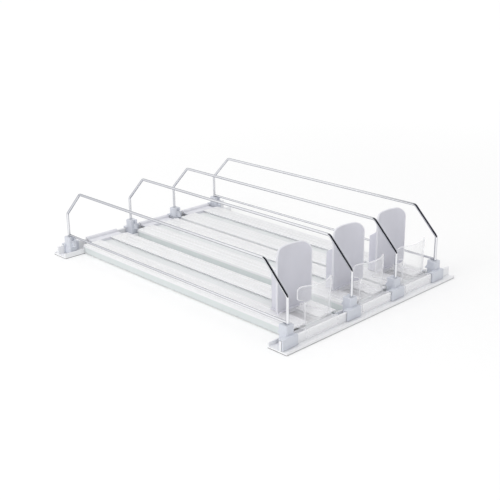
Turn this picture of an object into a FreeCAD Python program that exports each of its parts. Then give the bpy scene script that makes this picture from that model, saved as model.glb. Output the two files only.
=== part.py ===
"""Spring-fed organizer for drink cans, with three push-forward lanes on two rails.

Millimetres, +Z up, standing on the shelf at Z = 0. +X is to the right along the rails and the
front is at -Y. The origin is below the middle. The front half is modelled; what also sits at
the rear is the same piece turned half a turn about Z.
"""
import FreeCAD, Part
import math
import os

V = FreeCAD.Vector
X_AXIS = V(1, 0, 0)
Y_AXIS = V(0, 1, 0)
Z_AXIS = V(0, 0, 1)
ORIGIN = V(0, 0, 0)

# Layout on the shelf
lane_width = 65.0         # one track
lane_gap = 5.0            # between two tracks that are set close
wide_extra = 20.0         # by which the left lane is set wider than the others
rail_end_left = 14.5      # rail beyond the posts of the left divider
rail_end_right = 20.0
post_spacing = 355.0      # from the front posts of the dividers to the rear ones

# Running and snap clearances
slide_gap = 0.3           # between pieces that slide on each other
seat_gap = 0.1            # between pieces that are pushed together
tongue_gap = 3.0          # beside a track's hook, to the foot of a divider
stop_gap = 6.0            # beside a front stop, to the block of a divider
paddle_gap = 9.0          # beside a paddle, to the divider wires

# Rails, with the post line as the place that depths are taken from
rail_overhang = 13.0      # post line to the outer edge
rail_reach = 11.0         # post line to the inner edge
rail_base = 2.0
rail_lip_width = 1.4
rail_lip_height = 1.2
web_offset = 4.6          # post line to the middle of the web, outward
web_wall = 1.8
bead_radius = 1.3
bead_height = 10.6        # centre of the bead along the top of the web
ledge_wall = 1.6          # inner rib that the tracks lie on
rail_edge = 0.5

# Tracks
track_top = 10.5
track_wall = 1.6
track_setback = 8.5       # post line to the end of a track
skirt_clearance = 0.6     # below the side skirts, to the shelf
channel_mouth = 15.0
channel_undercut = 2.0    # by which the slot is wider under each lip
lip_wall = 0.9
slot_height = 1.8
rib_height = 0.5
rib_width = 1.2
rib_first = 12.0          # lane centre line to the nearest rib
rib_pitch = 7.5
ribs_per_side = 3
track_edge = 0.8

# Hooks that hold a lane to the rails
hook_wall = 1.4
hook_lip_end = 5.0        # lower end of the lip, above the shelf
cap_wall_depth = 3.3
cap_tab_depth = 14.0

# Wire dividers
wire_diameter = 3.0
lower_wire_diameter = 2.5
shoulder_height = 49.8    # where a post bends inward
top_height = 79.0         # centre of the top run
shoulder_run = 29.0       # how far the sloping shoulder reaches in
bend_reach = 2.2          # corner of the path to each end of its bend
lower_wire_height = 24.0
post_foot = 8.0           # lower end of a post, above the shelf

# Divider clips
foot_width = 20.0
foot_offset = -3.5        # post line to the middle of a foot, and so of a lane's hook
foot_front = 7.6          # post line to the front face of the foot
foot_depth = 5.6
foot_top = 13.2
block_width = 10.0
block_front = 4.0
block_back = 7.0
block_top = 22.5
block_corner = 1.0        # bevel of the upright edges
block_rim = 0.5           # bevel round the top
groove_width = 3.0
groove_depth = 1.6
gusset_reach = 1.3
gusset_rise = 7.0

# Clear front stops
stop_wall = 2.0
stop_setback = 3.0        # post line to the middle of the inner face
stop_bow = 5.0            # how far the ends stand back from the middle
stop_top = 51.0
stop_wing_low = 36.5
stop_stem_width = 36.0
stop_corner = 5.0
stop_plate = 1.5
stop_plate_end = 37.7     # post line to the inner edge of the floor plate
tenon_length = 25.0
anchor_tab_width = 3.0
anchor_tab_length = 2.5

# Pushers
paddle_wall = 2.0
paddle_bow = 8.5
paddle_inset = 2.5        # front of the slider to the middle of the paddle's face
paddle_top = 78.5
paddle_corner = 11.0
paddle_wing_low = 13.5
paddle_wing_corner = 5.0
paddle_stem_width = 26.0
housing_width = 24.0
housing_depth = 12.8      # paddle's face to the open back
housing_wall = 1.6
housing_back_top = 49.5
housing_face_top = 58.5
slider_plate = 1.7
slider_foot = 0.9

# Flat coil springs
strip_width = 10.0
strip_thickness = 0.2
coil_radius = 4.7
coil_eye_radius = 3.0

# Sizes that follow from the ones above
front_post = -post_spacing / 2
snug_pitch = lane_width + lane_gap
wide_pitch = snug_pitch + wide_extra
pitches = [wide_pitch, snug_pitch, snug_pitch]
rail_length = rail_end_left + sum(pitches) + rail_end_right
divider_places = [rail_end_left + sum(pitches[:n]) - rail_length / 2 for n in range(len(pitches) + 1)]
lane_places = [(a + b) / 2 for a, b in zip(divider_places, divider_places[1:])]
tongue_width = snug_pitch - foot_width - 2 * tongue_gap
tongue_sides = (foot_offset - tongue_width / 2, foot_offset + tongue_width / 2)
stop_width = snug_pitch - block_width - 2 * stop_gap
paddle_width = snug_pitch - wire_diameter - 2 * paddle_gap
track_length = post_spacing - 2 * track_setback
rib_top = track_top + rib_height
channel_floor = track_top - lip_wall - slot_height
trough_bottom = channel_floor - track_wall
ledge_top = trough_bottom - slide_gap
slot_width = channel_mouth + 2 * channel_undercut
slider_front = stop_plate_end + slide_gap
paddle_face = slider_front + paddle_inset
slider_back = paddle_face + housing_depth


def place_yz(x):
    """Turns a flat point (y, z) into a point at the given X."""
    return lambda p: V(x, p.x, p.y)


def place_xz(y):
    """Turns a flat point (x, z) into a point at the given Y."""
    return lambda p: V(p.x, y, p.y)


def place_xy(z):
    """Turns a flat point (x, y) into a point at the given Z."""
    return lambda p: V(p.x, p.y, z)


def rounded_wire(corners, place, closed=True):
    """A wire through corners (u, v, radius), each rounded to its own radius."""
    points = [V(c[0], c[1], 0) for c in corners]
    stretches = []
    for n, here in enumerate(points):
        radius = corners[n][2]
        if radius == 0 or (not closed and n in (0, len(points) - 1)):
            stretches.append((here, None, here))
            continue
        before = (points[n - 1] - here).normalize()
        after = (points[(n + 1) % len(points)] - here).normalize()
        half_angle = before.getAngle(after) / 2
        inward = (before + after).normalize()
        reach = radius / math.tan(half_angle)
        middle = here + inward * (radius / math.sin(half_angle) - radius)
        stretches.append((here + before * reach, middle, here + after * reach))
    edges = []
    for n, (start, middle, end) in enumerate(stretches):
        if middle is not None:
            edges.append(Part.Arc(place(start), place(middle), place(end)).toShape())
        following = stretches[(n + 1) % len(stretches)][0]
        last = n == len(stretches) - 1
        if (closed or not last) and end.distanceToPoint(following) > 1e-6:
            edges.append(Part.LineSegment(place(end), place(following)).toShape())
    return Part.Wire(edges)


def prism(corners, place, direction):
    """The solid that a rounded outline sweeps along a direction."""
    return Part.Face(rounded_wire(corners, place)).extrude(direction)


def bar(x_range, y_range, z_range):
    """A rectangular block between the given coordinates."""
    low = V(x_range[0], y_range[0], z_range[0])
    return Part.makeBox(x_range[1] - x_range[0], y_range[1] - y_range[0],
                        z_range[1] - z_range[0], low)


def mirrored_corners(right_side):
    """The corners of the right half of an outline, followed by those of its left half."""
    left_side = [(-u, v, radius) for u, v, radius in reversed(right_side)]
    return right_side + left_side


def upright_wall(face_y, radius, wall, bulges_forward, corners):
    """A wall that is an arc in plan and is trimmed to the outline seen from the front.

    face_y is the middle of the hollow face and radius is that face's own radius.
    """
    centre_y = face_y + radius if bulges_forward else face_y - radius
    height = max(c[1] for c in corners) + 1
    base = V(0, centre_y, 0)
    ring = Part.makeCylinder(radius + wall, height, base)
    ring = ring.cut(Part.makeCylinder(radius, height, base))
    start = face_y - radius / 2
    return ring.common(prism(corners, place_xz(start), Y_AXIS * radius))


def beveled(shape, size, picks):
    """The shape with a flat bevel on each edge that picks(bounding box) accepts."""
    return shape.makeChamfer(size, [e for e in shape.Edges if picks(e.BoundBox)])


def bow_radius(width, bow):
    """The radius of an arc of the given width whose middle stands off by bow."""
    return (width ** 2 / 4 + bow ** 2) / (2 * bow)


def turned_to_rear(shape):
    """The same piece at the rear, turned half a turn about Z."""
    turned = shape.copy()
    turned.rotate(ORIGIN, Z_AXIS, 180)
    return turned


def moved_to(shape, x):
    """The same piece at another place along the rails."""
    moved = shape.copy()
    moved.translate(X_AXIS * x)
    return moved


def front_rail():
    """Extruded rail: a flange on the shelf, a beaded web for hooks and clips, an inner ledge."""
    outer = front_post - rail_overhang
    inner = front_post + rail_reach
    web = front_post - web_offset
    half_web = web_wall / 2
    bead_top = bead_height + bead_radius
    corners = [
        (outer, 0, rail_edge),
        (inner, 0, 0),
        (inner, ledge_top, 0),
        (inner - ledge_wall, ledge_top, 0),
        (inner - ledge_wall, rail_base, 0),
        (web + half_web, rail_base, 0),
        (web + half_web, bead_height - bead_radius, 0),
        (web + bead_radius, bead_height, 0),
        (web + bead_radius, bead_top, bead_radius),
        (web - bead_radius, bead_top, bead_radius),
        (web - bead_radius, bead_height, 0),
        (web - half_web, bead_height - bead_radius, 0),
        (web - half_web, rail_base, 0),
        (outer + rail_lip_width, rail_base, 0),
        (outer + rail_lip_width, rail_base + rail_lip_height, rail_edge),
        (outer, rail_base + rail_lip_height, rail_edge),
    ]
    return prism(corners, place_yz(-rail_length / 2), X_AXIS * rail_length)


def track():
    """Extruded lane floor with fine ribs, side skirts and an undercut channel down the middle."""
    half = lane_width / 2
    mouth = channel_mouth / 2
    slot = slot_width / 2
    underside = track_top - track_wall
    right_side = [
        (slot + track_wall, trough_bottom, 0),
        (slot + track_wall, underside, 0),
        (half - track_wall, underside, 0),
        (half - track_wall, skirt_clearance, 0),
        (half, skirt_clearance, 0),
        (half, track_top, track_edge),
    ]
    for n in reversed(range(ribs_per_side)):
        middle = rib_first + n * rib_pitch
        right_side += [
            (middle + rib_width / 2, track_top, 0),
            (middle + rib_width / 4, rib_top, 0),
            (middle - rib_width / 4, rib_top, 0),
            (middle - rib_width / 2, track_top, 0),
        ]
    right_side += [
        (mouth, track_top, 0),
        (mouth, track_top - lip_wall, 0),
        (slot, track_top - lip_wall, 0),
        (slot, channel_floor, 0),
    ]
    start = -track_length / 2
    floor = prism(mirrored_corners(right_side), place_xz(start), Y_AXIS * track_length)
    notch_depth = rail_reach + slide_gap - track_setback
    for side in (-1, 1):
        for end in (start, -start - notch_depth):
            skirt_x = side * half
            inner_x = side * (slot + track_wall + slide_gap)
            notch = bar(sorted((skirt_x + side, inner_x)), (end, end + notch_depth),
                        (0, ledge_top + 2 * slide_gap))
            floor = floor.cut(notch)
    return floor


def rail_hook(plate_low):
    """An upturned U, one hook wide, that snaps over the bead of the front rail."""
    web = front_post - web_offset
    inside = bead_radius + slide_gap
    outside = inside + hook_wall
    leg_low = min(plate_low, bead_height)
    corners = [
        (web + outside, leg_low, 0),
        (web + outside, bead_height + outside, outside),
        (web - outside, bead_height + outside, outside),
        (web - outside, hook_lip_end, 0),
        (web - inside, hook_lip_end, 0),
        (web - inside, bead_height + inside, 0),
        (web + inside, bead_height + inside, 0),
        (web + inside, leg_low, 0),
    ]
    return prism(corners, place_yz(tongue_sides[0]), X_AXIS * tongue_width)


def front_stop():
    """Clear stop: a bowed wall with wings, a floor plate, a rail hook and a tenon with a tab."""
    half_stem = stop_stem_width / 2
    half_width = stop_width / 2
    wall = upright_wall(
        front_post + stop_setback, bow_radius(stop_width, stop_bow), stop_wall, True,
        mirrored_corners([
            (half_stem, rib_top, 0),
            (half_stem, stop_wing_low, stop_wall),
            (half_width, stop_wing_low, stop_corner / 2),
            (half_width, stop_top, stop_corner),
        ]))
    plate_start = front_post - web_offset + bead_radius + slide_gap
    plate_end = front_post + stop_plate_end
    plate = bar(tongue_sides, (plate_start, plate_end), (rib_top, rib_top + stop_plate))
    half_tenon = channel_mouth / 2 - seat_gap
    tenon_start = front_post + track_setback + seat_gap
    tenon_low = channel_floor + strip_thickness + 2 * slide_gap
    tenon = bar((-half_tenon, half_tenon), (tenon_start, tenon_start + tenon_length),
                (tenon_low, rib_top + stop_plate / 2))
    tab = anchor_tab(0, channel_floor + seat_gap, tenon_low + seat_gap)
    return wall.fuse([plate, rail_hook(rib_top), tenon, tab]).removeSplitter()


def anchor_tab(clearance, low, high):
    """The tab that holds the end of a spring strip, grown by the clearance on every side."""
    middle = front_post + track_setback + tenon_length / 3
    half_width = anchor_tab_width / 2 + clearance
    half_length = anchor_tab_length / 2 + clearance
    return bar((-half_width, half_width), (middle - half_length, middle + half_length),
               (low, high))


def rear_cap():
    """Hook that closes the rear end of a track, with tabs below the track's floor."""
    plate_start = front_post - web_offset + bead_radius + slide_gap
    track_end = front_post + track_setback - seat_gap
    plate_low = track_top - track_wall
    plate = bar(tongue_sides, (plate_start, track_end), (plate_low, track_top))
    wall = bar(tongue_sides, (track_end - cap_wall_depth, track_end),
               (trough_bottom, track_top))
    tab_top = plate_low - seat_gap
    tabs = []
    for side, outer_x in zip((-1, 1), tongue_sides):
        inner_x = side * (slot_width / 2 + track_wall + slide_gap)
        tabs.append(bar(sorted((inner_x, outer_x)),
                        (track_end - cap_wall_depth, track_end + cap_tab_depth),
                        (tab_top - track_wall, tab_top)))
    cap = rail_hook(plate_low).fuse([plate, wall] + tabs).removeSplitter()
    return turned_to_rear(cap)


def divider_wire(has_lower_wire):
    """Bent wire hoop that stands in a front and a rear clip."""
    half = post_spacing / 2
    corners = [
        V(0, -half, post_foot),
        V(0, -half, shoulder_height),
        V(0, -half + shoulder_run, top_height),
        V(0, half - shoulder_run, top_height),
        V(0, half, shoulder_height),
        V(0, half, post_foot),
    ]
    path = corners[:1]
    for before, here, after in zip(corners, corners[1:], corners[2:]):
        path.append(here + (before - here).normalize() * bend_reach)
        path.append(here + (after - here).normalize() * bend_reach)
    path.append(corners[-1])
    section = Part.Wire(Part.Circle(path[0], Z_AXIS, wire_diameter / 2).toShape())
    mitred = 1
    hoop = Part.makePolygon(path).makePipeShell([section], True, False, mitred)
    if has_lower_wire:
        start = V(0, -half, lower_wire_height)
        lower = Part.makeCylinder(lower_wire_diameter / 2, post_spacing, start, Y_AXIS)
        hoop = hoop.fuse(lower)
    return hoop


def divider_clip():
    """Clip that slides on the front rail and holds the end of a divider wire."""
    foot_sides = (foot_offset - foot_width / 2, foot_offset + foot_width / 2)
    half_block = block_width / 2
    front = front_post - foot_front
    back = front_post + block_back
    web = front_post - web_offset
    low = rail_base + slide_gap
    foot = bar(foot_sides, (front, front + foot_depth), (low, foot_top))
    block = bar((-half_block, half_block), (front_post - block_front, back), (low, block_top))
    block = beveled(block, block_corner, lambda box: box.ZLength > 1)
    block = beveled(block, block_rim, lambda box: box.ZMin > block_top - 1)
    gusset_low = rib_top + seat_gap
    gusset = prism([
        (back - groove_depth, gusset_low, 0),
        (back + gusset_reach, gusset_low, 0),
        (back + gusset_reach, gusset_low + rib_height, 0),
        (back, gusset_low + gusset_rise, 0),
        (back - groove_depth, gusset_low + gusset_rise, 0),
    ], place_yz(-groove_width / 2), X_AXIS * groove_width)
    groove = bar((-groove_width / 2, groove_width / 2), (back - groove_depth, back + 1),
                 (gusset_low + gusset_rise, block_top + 1))
    slot_half = web_wall / 2 + slide_gap
    slot = bar(foot_sides, (web - slot_half, web + slot_half), (0, bead_height))
    bead_half = bead_radius + slide_gap
    bead_slot = bar(foot_sides, (web - bead_half, web + bead_half),
                    (bead_height - bead_half, bead_height + bead_half))
    socket = Part.makeCylinder(wire_diameter / 2 + seat_gap, block_top,
                               V(0, front_post, post_foot - seat_gap))
    clip = foot.fuse(block).cut([groove, slot, bead_slot, socket])
    return clip.fuse(gusset).removeSplitter()


def pusher():
    """Pusher: a bowed paddle on a spring housing, with a slider held under the track's lips."""
    face_y = front_post + paddle_face
    front_y = front_post + slider_front
    back_y = front_post + slider_back
    radius = bow_radius(paddle_width, paddle_bow)
    half_stem = paddle_stem_width / 2
    half_width = paddle_width / 2
    plate_low = rib_top + slide_gap
    plate_top = plate_low + slider_plate
    paddle = upright_wall(face_y, radius, paddle_wall, False, mirrored_corners([
        (half_stem, plate_low, 0),
        (half_stem, paddle_wing_low, 0),
        (half_width, paddle_wing_low, paddle_wing_corner),
        (half_width, paddle_top, paddle_corner),
    ]))
    housing = spring_housing(face_y, back_y, radius, plate_low, plate_top)
    half_plate = paddle_stem_width / 2
    plate = prism([
        (-half_plate, front_y, 0),
        (half_plate, front_y, 0),
        (half_plate, back_y, 0),
        (-half_plate, back_y, 0),
    ], place_xy(plate_low), Z_AXIS * slider_plate)
    neck_half = channel_mouth / 2 - slide_gap
    lip_underside = track_top - lip_wall
    neck = bar((-neck_half, neck_half), (front_y, back_y),
               (lip_underside - slide_gap - slider_foot, plate_low + slider_plate / 2))
    foot_half = slot_width / 2 - slide_gap
    foot = bar((-foot_half, foot_half), (front_y, back_y),
               (lip_underside - slide_gap - slider_foot, lip_underside - slide_gap))
    window_half = strip_width / 2 + 2 * slide_gap
    window = bar((-window_half, window_half), (face_y + paddle_wall + slide_gap, back_y + 1),
                 (0, plate_top + 1))
    slider = plate.fuse([neck, foot]).cut(window)
    return paddle.fuse([housing, slider]).removeSplitter()


def spring_housing(face_y, back_y, radius, low, plate_top):
    """Two cheeks and a sloping roof behind the paddle, open at the back round the coil."""
    half = housing_width / 2
    inner = half - housing_wall
    slope = (housing_face_top - housing_back_top) / housing_depth
    roof_drop = housing_wall * math.hypot(1, slope)
    outside = prism([
        (face_y - paddle_bow, low, 0),
        (back_y, low, 0),
        (back_y, housing_back_top, paddle_wall),
        (face_y - paddle_bow, housing_face_top + slope * paddle_bow, 0),
    ], place_yz(-half), X_AXIS * housing_width)
    past_back = housing_wall
    inside = prism([
        (face_y - paddle_bow, plate_top, 0),
        (back_y + past_back, plate_top, 0),
        (back_y + past_back, housing_back_top - roof_drop - slope * past_back, 0),
        (face_y - paddle_bow, housing_face_top + slope * paddle_bow - roof_drop, 0),
    ], place_yz(-inner), X_AXIS * 2 * inner)
    opening = bar((-inner, inner), (face_y, back_y + past_back), (low - 1, plate_top + 1))
    in_front = Part.makeCylinder(radius + paddle_wall / 2, housing_face_top * 2,
                                 V(0, face_y - radius, 0))
    return outside.cut([inside, opening, in_front])


def coil_spring():
    """Flat steel strip: coiled in the pusher, with its tail along the channel to the tab."""
    centre_y = front_post + paddle_face + paddle_wall + 2 * slide_gap + coil_radius
    low = channel_floor + seat_gap
    centre = V(-strip_width / 2, centre_y, low + coil_radius)
    coil = Part.makeCylinder(coil_radius, strip_width, centre, X_AXIS)
    eye = Part.makeCylinder(coil_eye_radius, strip_width, centre, X_AXIS)
    half = strip_width / 2
    hole = anchor_tab(slide_gap, 0, track_top)
    tail = bar((-half, half), (hole.BoundBox.YMin - anchor_tab_length, centre_y),
               (low, low + strip_thickness))
    return coil.cut(eye).fuse(tail).cut(hole)


def organizer():
    """Every node of the organizer by name."""
    nodes = {"front_rail": front_rail()}
    nodes["rear_rail"] = turned_to_rear(nodes["front_rail"])
    lane_pieces = {
        "track": track(),
        "front_stop": front_stop(),
        "rear_cap": rear_cap(),
        "pusher": pusher(),
        "coil_spring": coil_spring(),
    }
    for number, x in enumerate(lane_places, 1):
        for name, shape in lane_pieces.items():
            nodes[f"{name}_{number}"] = moved_to(shape, x)
    clip = divider_clip()
    outer_dividers = (1, len(divider_places))
    for number, x in enumerate(divider_places, 1):
        nodes[f"divider_wire_{number}"] = moved_to(divider_wire(number in outer_dividers), x)
        nodes[f"front_clip_{number}"] = moved_to(clip, x)
        nodes[f"rear_clip_{number}"] = moved_to(turned_to_rear(clip), x)
    return nodes


def main():
    """Writes one STEP file for each node."""
    os.makedirs("parts", exist_ok=True)
    for name, shape in organizer().items():
        shape.exportStep(f"parts/{name}.step")


main()
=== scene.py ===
"""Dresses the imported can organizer: every visible piece, its finish, the stage and the camera."""
import math

import bmesh
import bpy
from mathutils import Matrix, Vector


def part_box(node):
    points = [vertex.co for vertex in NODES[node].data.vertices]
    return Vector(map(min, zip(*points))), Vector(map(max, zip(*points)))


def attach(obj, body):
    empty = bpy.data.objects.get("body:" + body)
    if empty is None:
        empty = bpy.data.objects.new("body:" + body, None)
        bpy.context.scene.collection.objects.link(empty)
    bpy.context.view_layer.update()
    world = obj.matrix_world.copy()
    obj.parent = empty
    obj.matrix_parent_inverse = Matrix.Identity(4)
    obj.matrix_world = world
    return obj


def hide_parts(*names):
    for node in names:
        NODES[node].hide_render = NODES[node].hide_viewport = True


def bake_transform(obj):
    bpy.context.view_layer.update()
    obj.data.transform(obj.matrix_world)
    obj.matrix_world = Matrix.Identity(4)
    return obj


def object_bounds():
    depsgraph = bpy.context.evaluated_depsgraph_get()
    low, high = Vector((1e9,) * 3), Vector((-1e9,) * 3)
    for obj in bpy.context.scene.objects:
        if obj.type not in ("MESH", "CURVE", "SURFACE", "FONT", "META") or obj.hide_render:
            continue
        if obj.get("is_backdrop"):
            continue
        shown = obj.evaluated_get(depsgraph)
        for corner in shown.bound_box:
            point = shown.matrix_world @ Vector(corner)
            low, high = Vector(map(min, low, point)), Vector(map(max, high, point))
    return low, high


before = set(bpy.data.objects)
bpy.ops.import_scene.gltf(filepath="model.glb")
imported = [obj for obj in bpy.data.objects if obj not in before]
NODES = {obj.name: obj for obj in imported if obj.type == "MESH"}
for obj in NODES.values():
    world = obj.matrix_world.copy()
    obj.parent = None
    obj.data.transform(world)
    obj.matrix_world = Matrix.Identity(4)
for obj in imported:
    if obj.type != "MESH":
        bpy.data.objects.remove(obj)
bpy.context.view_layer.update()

bl_info = {
    "name": "Spring-fed Can Organizer",
    "version": (1, 0, 0),
    "blender": (4, 5, 0),
    "location": "3D View > Sidebar > Organizer",
    "description": "Builds the visible pieces of a three-lane can organizer over its solids",
    "category": "Object",
}

MM = 0.001
LANES = (1, 2, 3)
DIVIDERS = (1, 2, 3, 4)
OUTER_DIVIDERS = (1, 4)


def middle_x(node):
    """The middle of a solid along the rails, in millimetres."""
    low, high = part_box(node)
    return (low.x + high.x) / 2 / MM


# Places that the moulded pieces are built from, in millimetres and read from the solids
WIRE_LOW, WIRE_HIGH = (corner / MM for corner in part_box("divider_wire_2"))
HOOP_RADIUS = (WIRE_HIGH.x - WIRE_LOW.x) / 2
FRONT_POST = WIRE_LOW.y + HOOP_RADIUS
PUSHER_LOW, PUSHER_HIGH = (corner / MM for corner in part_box("pusher_2"))
STOP_LOW, STOP_HIGH = (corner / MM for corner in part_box("front_stop_2"))
TRACK_LOW, TRACK_HIGH = (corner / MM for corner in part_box("track_2"))
COIL_LOW, COIL_HIGH = (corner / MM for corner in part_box("coil_spring_2"))
CLIP_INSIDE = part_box("front_clip_2")[1].y / MM
RIB_TOP = TRACK_HIGH.z

# Sizes that several pieces share, in millimetres
WEB = FRONT_POST - 4.6                          # middle of the front rail's web
TENON_LENGTH = 25.0                             # of a clear stop, in the channel
TAB = TRACK_LOW.y + TENON_LENGTH / 3            # middle of the tab that holds the strip
PLATE_LOW, PLATE_TOP = RIB_TOP + 0.3, RIB_TOP + 2.0     # a pusher's slider
PADDLE_WALL, PADDLE_BOW = 2.0, 8.5
PADDLE_FACE = PUSHER_HIGH.y - 12.8              # middle of the hollow face
PADDLE_HALF = PUSHER_HIGH.x - middle_x("pusher_2")
PADDLE_STEM = 13.0                              # half the width below the wings


# Sizes and colours

def length(name, description, default):
    """A size property in metres."""
    return bpy.props.FloatProperty(name=name, description=description, default=default,
                                   min=0.0, unit="LENGTH", subtype="DISTANCE")


def tone(name, description, default):
    """A colour property."""
    return bpy.props.FloatVectorProperty(name=name, description=description, default=default,
                                         min=0.0, max=1.0, size=3, subtype="COLOR")


class HoopSizes(bpy.types.PropertyGroup):
    """Sizes of the chromed divider hoops."""
    wire: length("Wire", "Diameter of the hoop's wire", 2 * HOOP_RADIUS * MM)
    lower_wire: length("Lower wire", "Diameter of the welded lower wire", 0.0025)
    bend: length("Bend", "Radius of the hoop's bends, at the middle of the wire", 0.0055)
    weld: length("Weld", "Radius of the weld at each end of the lower wire", 0.0019)
    sides: bpy.props.IntProperty(name="Sides", description="Faces round the wire",
                                 default=20, min=6, max=48)


class SpringSizes(bpy.types.PropertyGroup):
    """Sizes of the coiled steel strips."""
    strip: length("Strip", "Thickness of the steel strip", 0.0002)
    width: length("Width", "Width of the steel strip", 0.010)
    eye: length("Eye", "Radius of the coil's eye", 0.003)
    turns: bpy.props.FloatProperty(name="Turns", description="Turns in the resting coil",
                                   default=6.0, min=1.0, max=10.0)


class MouldingSizes(bpy.types.PropertyGroup):
    """Sizes of the moulded pieces' edges."""
    paddle_edge: length("Paddle edge", "Rounding round a paddle's outline", 0.0008)
    stop_edge: length("Stop edge", "Rounding round a clear stop's outline", 0.0007)
    housing_edge: length("Housing edge", "Rounding of the spring housing", 0.0011)
    clip_edge: length("Clip edge", "Rounding of the clips and caps", 0.00035)
    extrusion_edge: length("Extrusion edge", "Rounding along rails and tracks", 0.00015)
    plate_edge: length("Plate edge", "Rounding of the stops' and pushers' plates", 0.0004)


class PartColours(bpy.types.PropertyGroup):
    """Colours of the organizer's plastics and metals."""
    rail: tone("Rails", "Extruded rails", (0.93, 0.935, 0.955))
    track: tone("Tracks", "Extruded lane floors", (0.955, 0.955, 0.98))
    clip: tone("Clips", "Divider clips", (0.70, 0.725, 0.79))
    cap: tone("Rear caps", "Hooks at the rear ends of the lanes", (0.82, 0.82, 0.87))
    pusher: tone("Pushers", "Paddles and spring housings", (0.72, 0.72, 0.785))
    # Painted highlight: the clear stops' rims are a more opaque white than their faces
    clear: tone("Stops", "Clear front stops", (0.97, 0.97, 0.99))
    rim: tone("Stop rims", "Bright edges of the clear stops", (0.96, 0.965, 0.99))
    # Painted highlight: the paddles' rounded edges are lighter than their faces
    paddle_rim_highlight: tone("Paddle rims", "Edges of the paddles", (0.84, 0.84, 0.89))
    chrome: tone("Chrome", "Plated wire", (0.87, 0.875, 0.90))
    steel: tone("Spring steel", "Coiled strips", (0.70, 0.69, 0.68))


class StageLook(bpy.types.PropertyGroup):
    """Camera and light of the stage."""
    lens: bpy.props.FloatProperty(name="Lens", description="Focal length in millimetres",
                                  default=63.17, min=10.0)
    sky: bpy.props.FloatProperty(name="Sky", description="Light from all round",
                                 default=0.78, min=0.0)
    overhead: bpy.props.FloatProperty(name="Overhead lamp", description="Power",
                                      default=5.0, min=0.0, unit="POWER")
    key: bpy.props.FloatProperty(name="Left lamp", description="Power",
                                 default=6.0, min=0.0, unit="POWER")
    floor: tone("Floor", "Colour of the floor", (0.93, 0.93, 0.93))


SETTINGS = {
    "organizer_hoops": HoopSizes,
    "organizer_springs": SpringSizes,
    "organizer_mouldings": MouldingSizes,
    "organizer_colours": PartColours,
    "organizer_stage": StageLook,
}


# Outlines and solids

def rounded(corners, steps=6):
    """Points of a closed outline whose corners (u, v, radius) are rounded."""
    points = []
    for n, (u, v, radius) in enumerate(corners):
        here = Vector((u, v))
        if radius == 0:
            points.append(here)
            continue
        before = (Vector(corners[n - 1][:2]) - here).normalized()
        after = (Vector(corners[(n + 1) % len(corners)][:2]) - here).normalized()
        half = before.angle(after) / 2
        centre = here + (before + after).normalized() * (radius / math.sin(half))
        start = here + before * (radius / math.tan(half)) - centre
        end = here + after * (radius / math.tan(half)) - centre
        turn = math.atan2(start.cross(end), start.dot(end))
        for step in range(steps + 1):
            points.append(centre + Matrix.Rotation(turn * step / steps, 2) @ start)
    return [p for n, p in enumerate(points) if (p - points[n - 1]).length > 1e-4]


def mirrored(right_side):
    """The corners of the right half of an outline, followed by those of its left half."""
    return right_side + [(-u, v, radius) for u, v, radius in reversed(right_side)]


def bow_radius(half, bow):
    """The radius of an arc whose ends stand back from its middle by the bow."""
    return (half ** 2 + bow ** 2) / (2 * bow)


def inset(points, distance):
    """A counter-clockwise outline moved inward by a distance."""
    moved = []
    for n, here in enumerate(points):
        before = (here - points[n - 1]).normalized()
        after = (points[(n + 1) % len(points)] - here).normalized()
        inward = Vector((-before.y - after.y, before.x + after.x)).normalized()
        moved.append(here + inward * distance / max(inward.dot((-after.y, after.x)), 0.4))
    return moved


def new_object(name, shape):
    """A new object at the origin from a bmesh in millimetres, which is freed."""
    bmesh.ops.recalc_face_normals(shape, faces=shape.faces)
    bmesh.ops.scale(shape, vec=(MM, MM, MM), verts=shape.verts)
    mesh = bpy.data.meshes.new(name)
    shape.to_mesh(mesh)
    shape.free()
    made = bpy.data.objects.new(name, mesh)
    bpy.context.scene.collection.objects.link(made)
    return made


def stacked(rings):
    """A closed bmesh through rings of equally many points, with flat ends."""
    shape = bmesh.new()
    rows = [[shape.verts.new(p) for p in ring] for ring in rings]
    for low, high in zip(rows, rows[1:]):
        for n in range(len(low)):
            shape.faces.new((low[n - 1], low[n], high[n], high[n - 1]))
    shape.faces.new(reversed(rows[0]))
    shape.faces.new(rows[-1])
    return shape


PLACES = {
    "X": lambda p, along: (along, p[0], p[1]),
    "Y": lambda p, along: (p[0], along, p[1]),
    "Z": lambda p, along: (p[0], p[1], along),
}


def drawn_out(name, outline, axis, start, end):
    """The solid that an outline leaves when it is drawn out along an axis."""
    place = PLACES[axis]
    rings = [[place(p, along) for p in outline] for along in (start, end)]
    return new_object(name, stacked(rings))


def mark_ends(piece):
    """Gives the faces that look along the rails the second finish, the painted rim highlight."""
    for face in piece.data.polygons:
        face.material_index = int(abs(face.normal.x) > 0.3)


def block(name, low, high):
    """A rectangular solid between two corners."""
    corners = [(low[0], low[1]), (high[0], low[1]), (high[0], high[1]), (low[0], high[1])]
    return drawn_out(name, corners, "Z", low[2], high[2])


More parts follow.
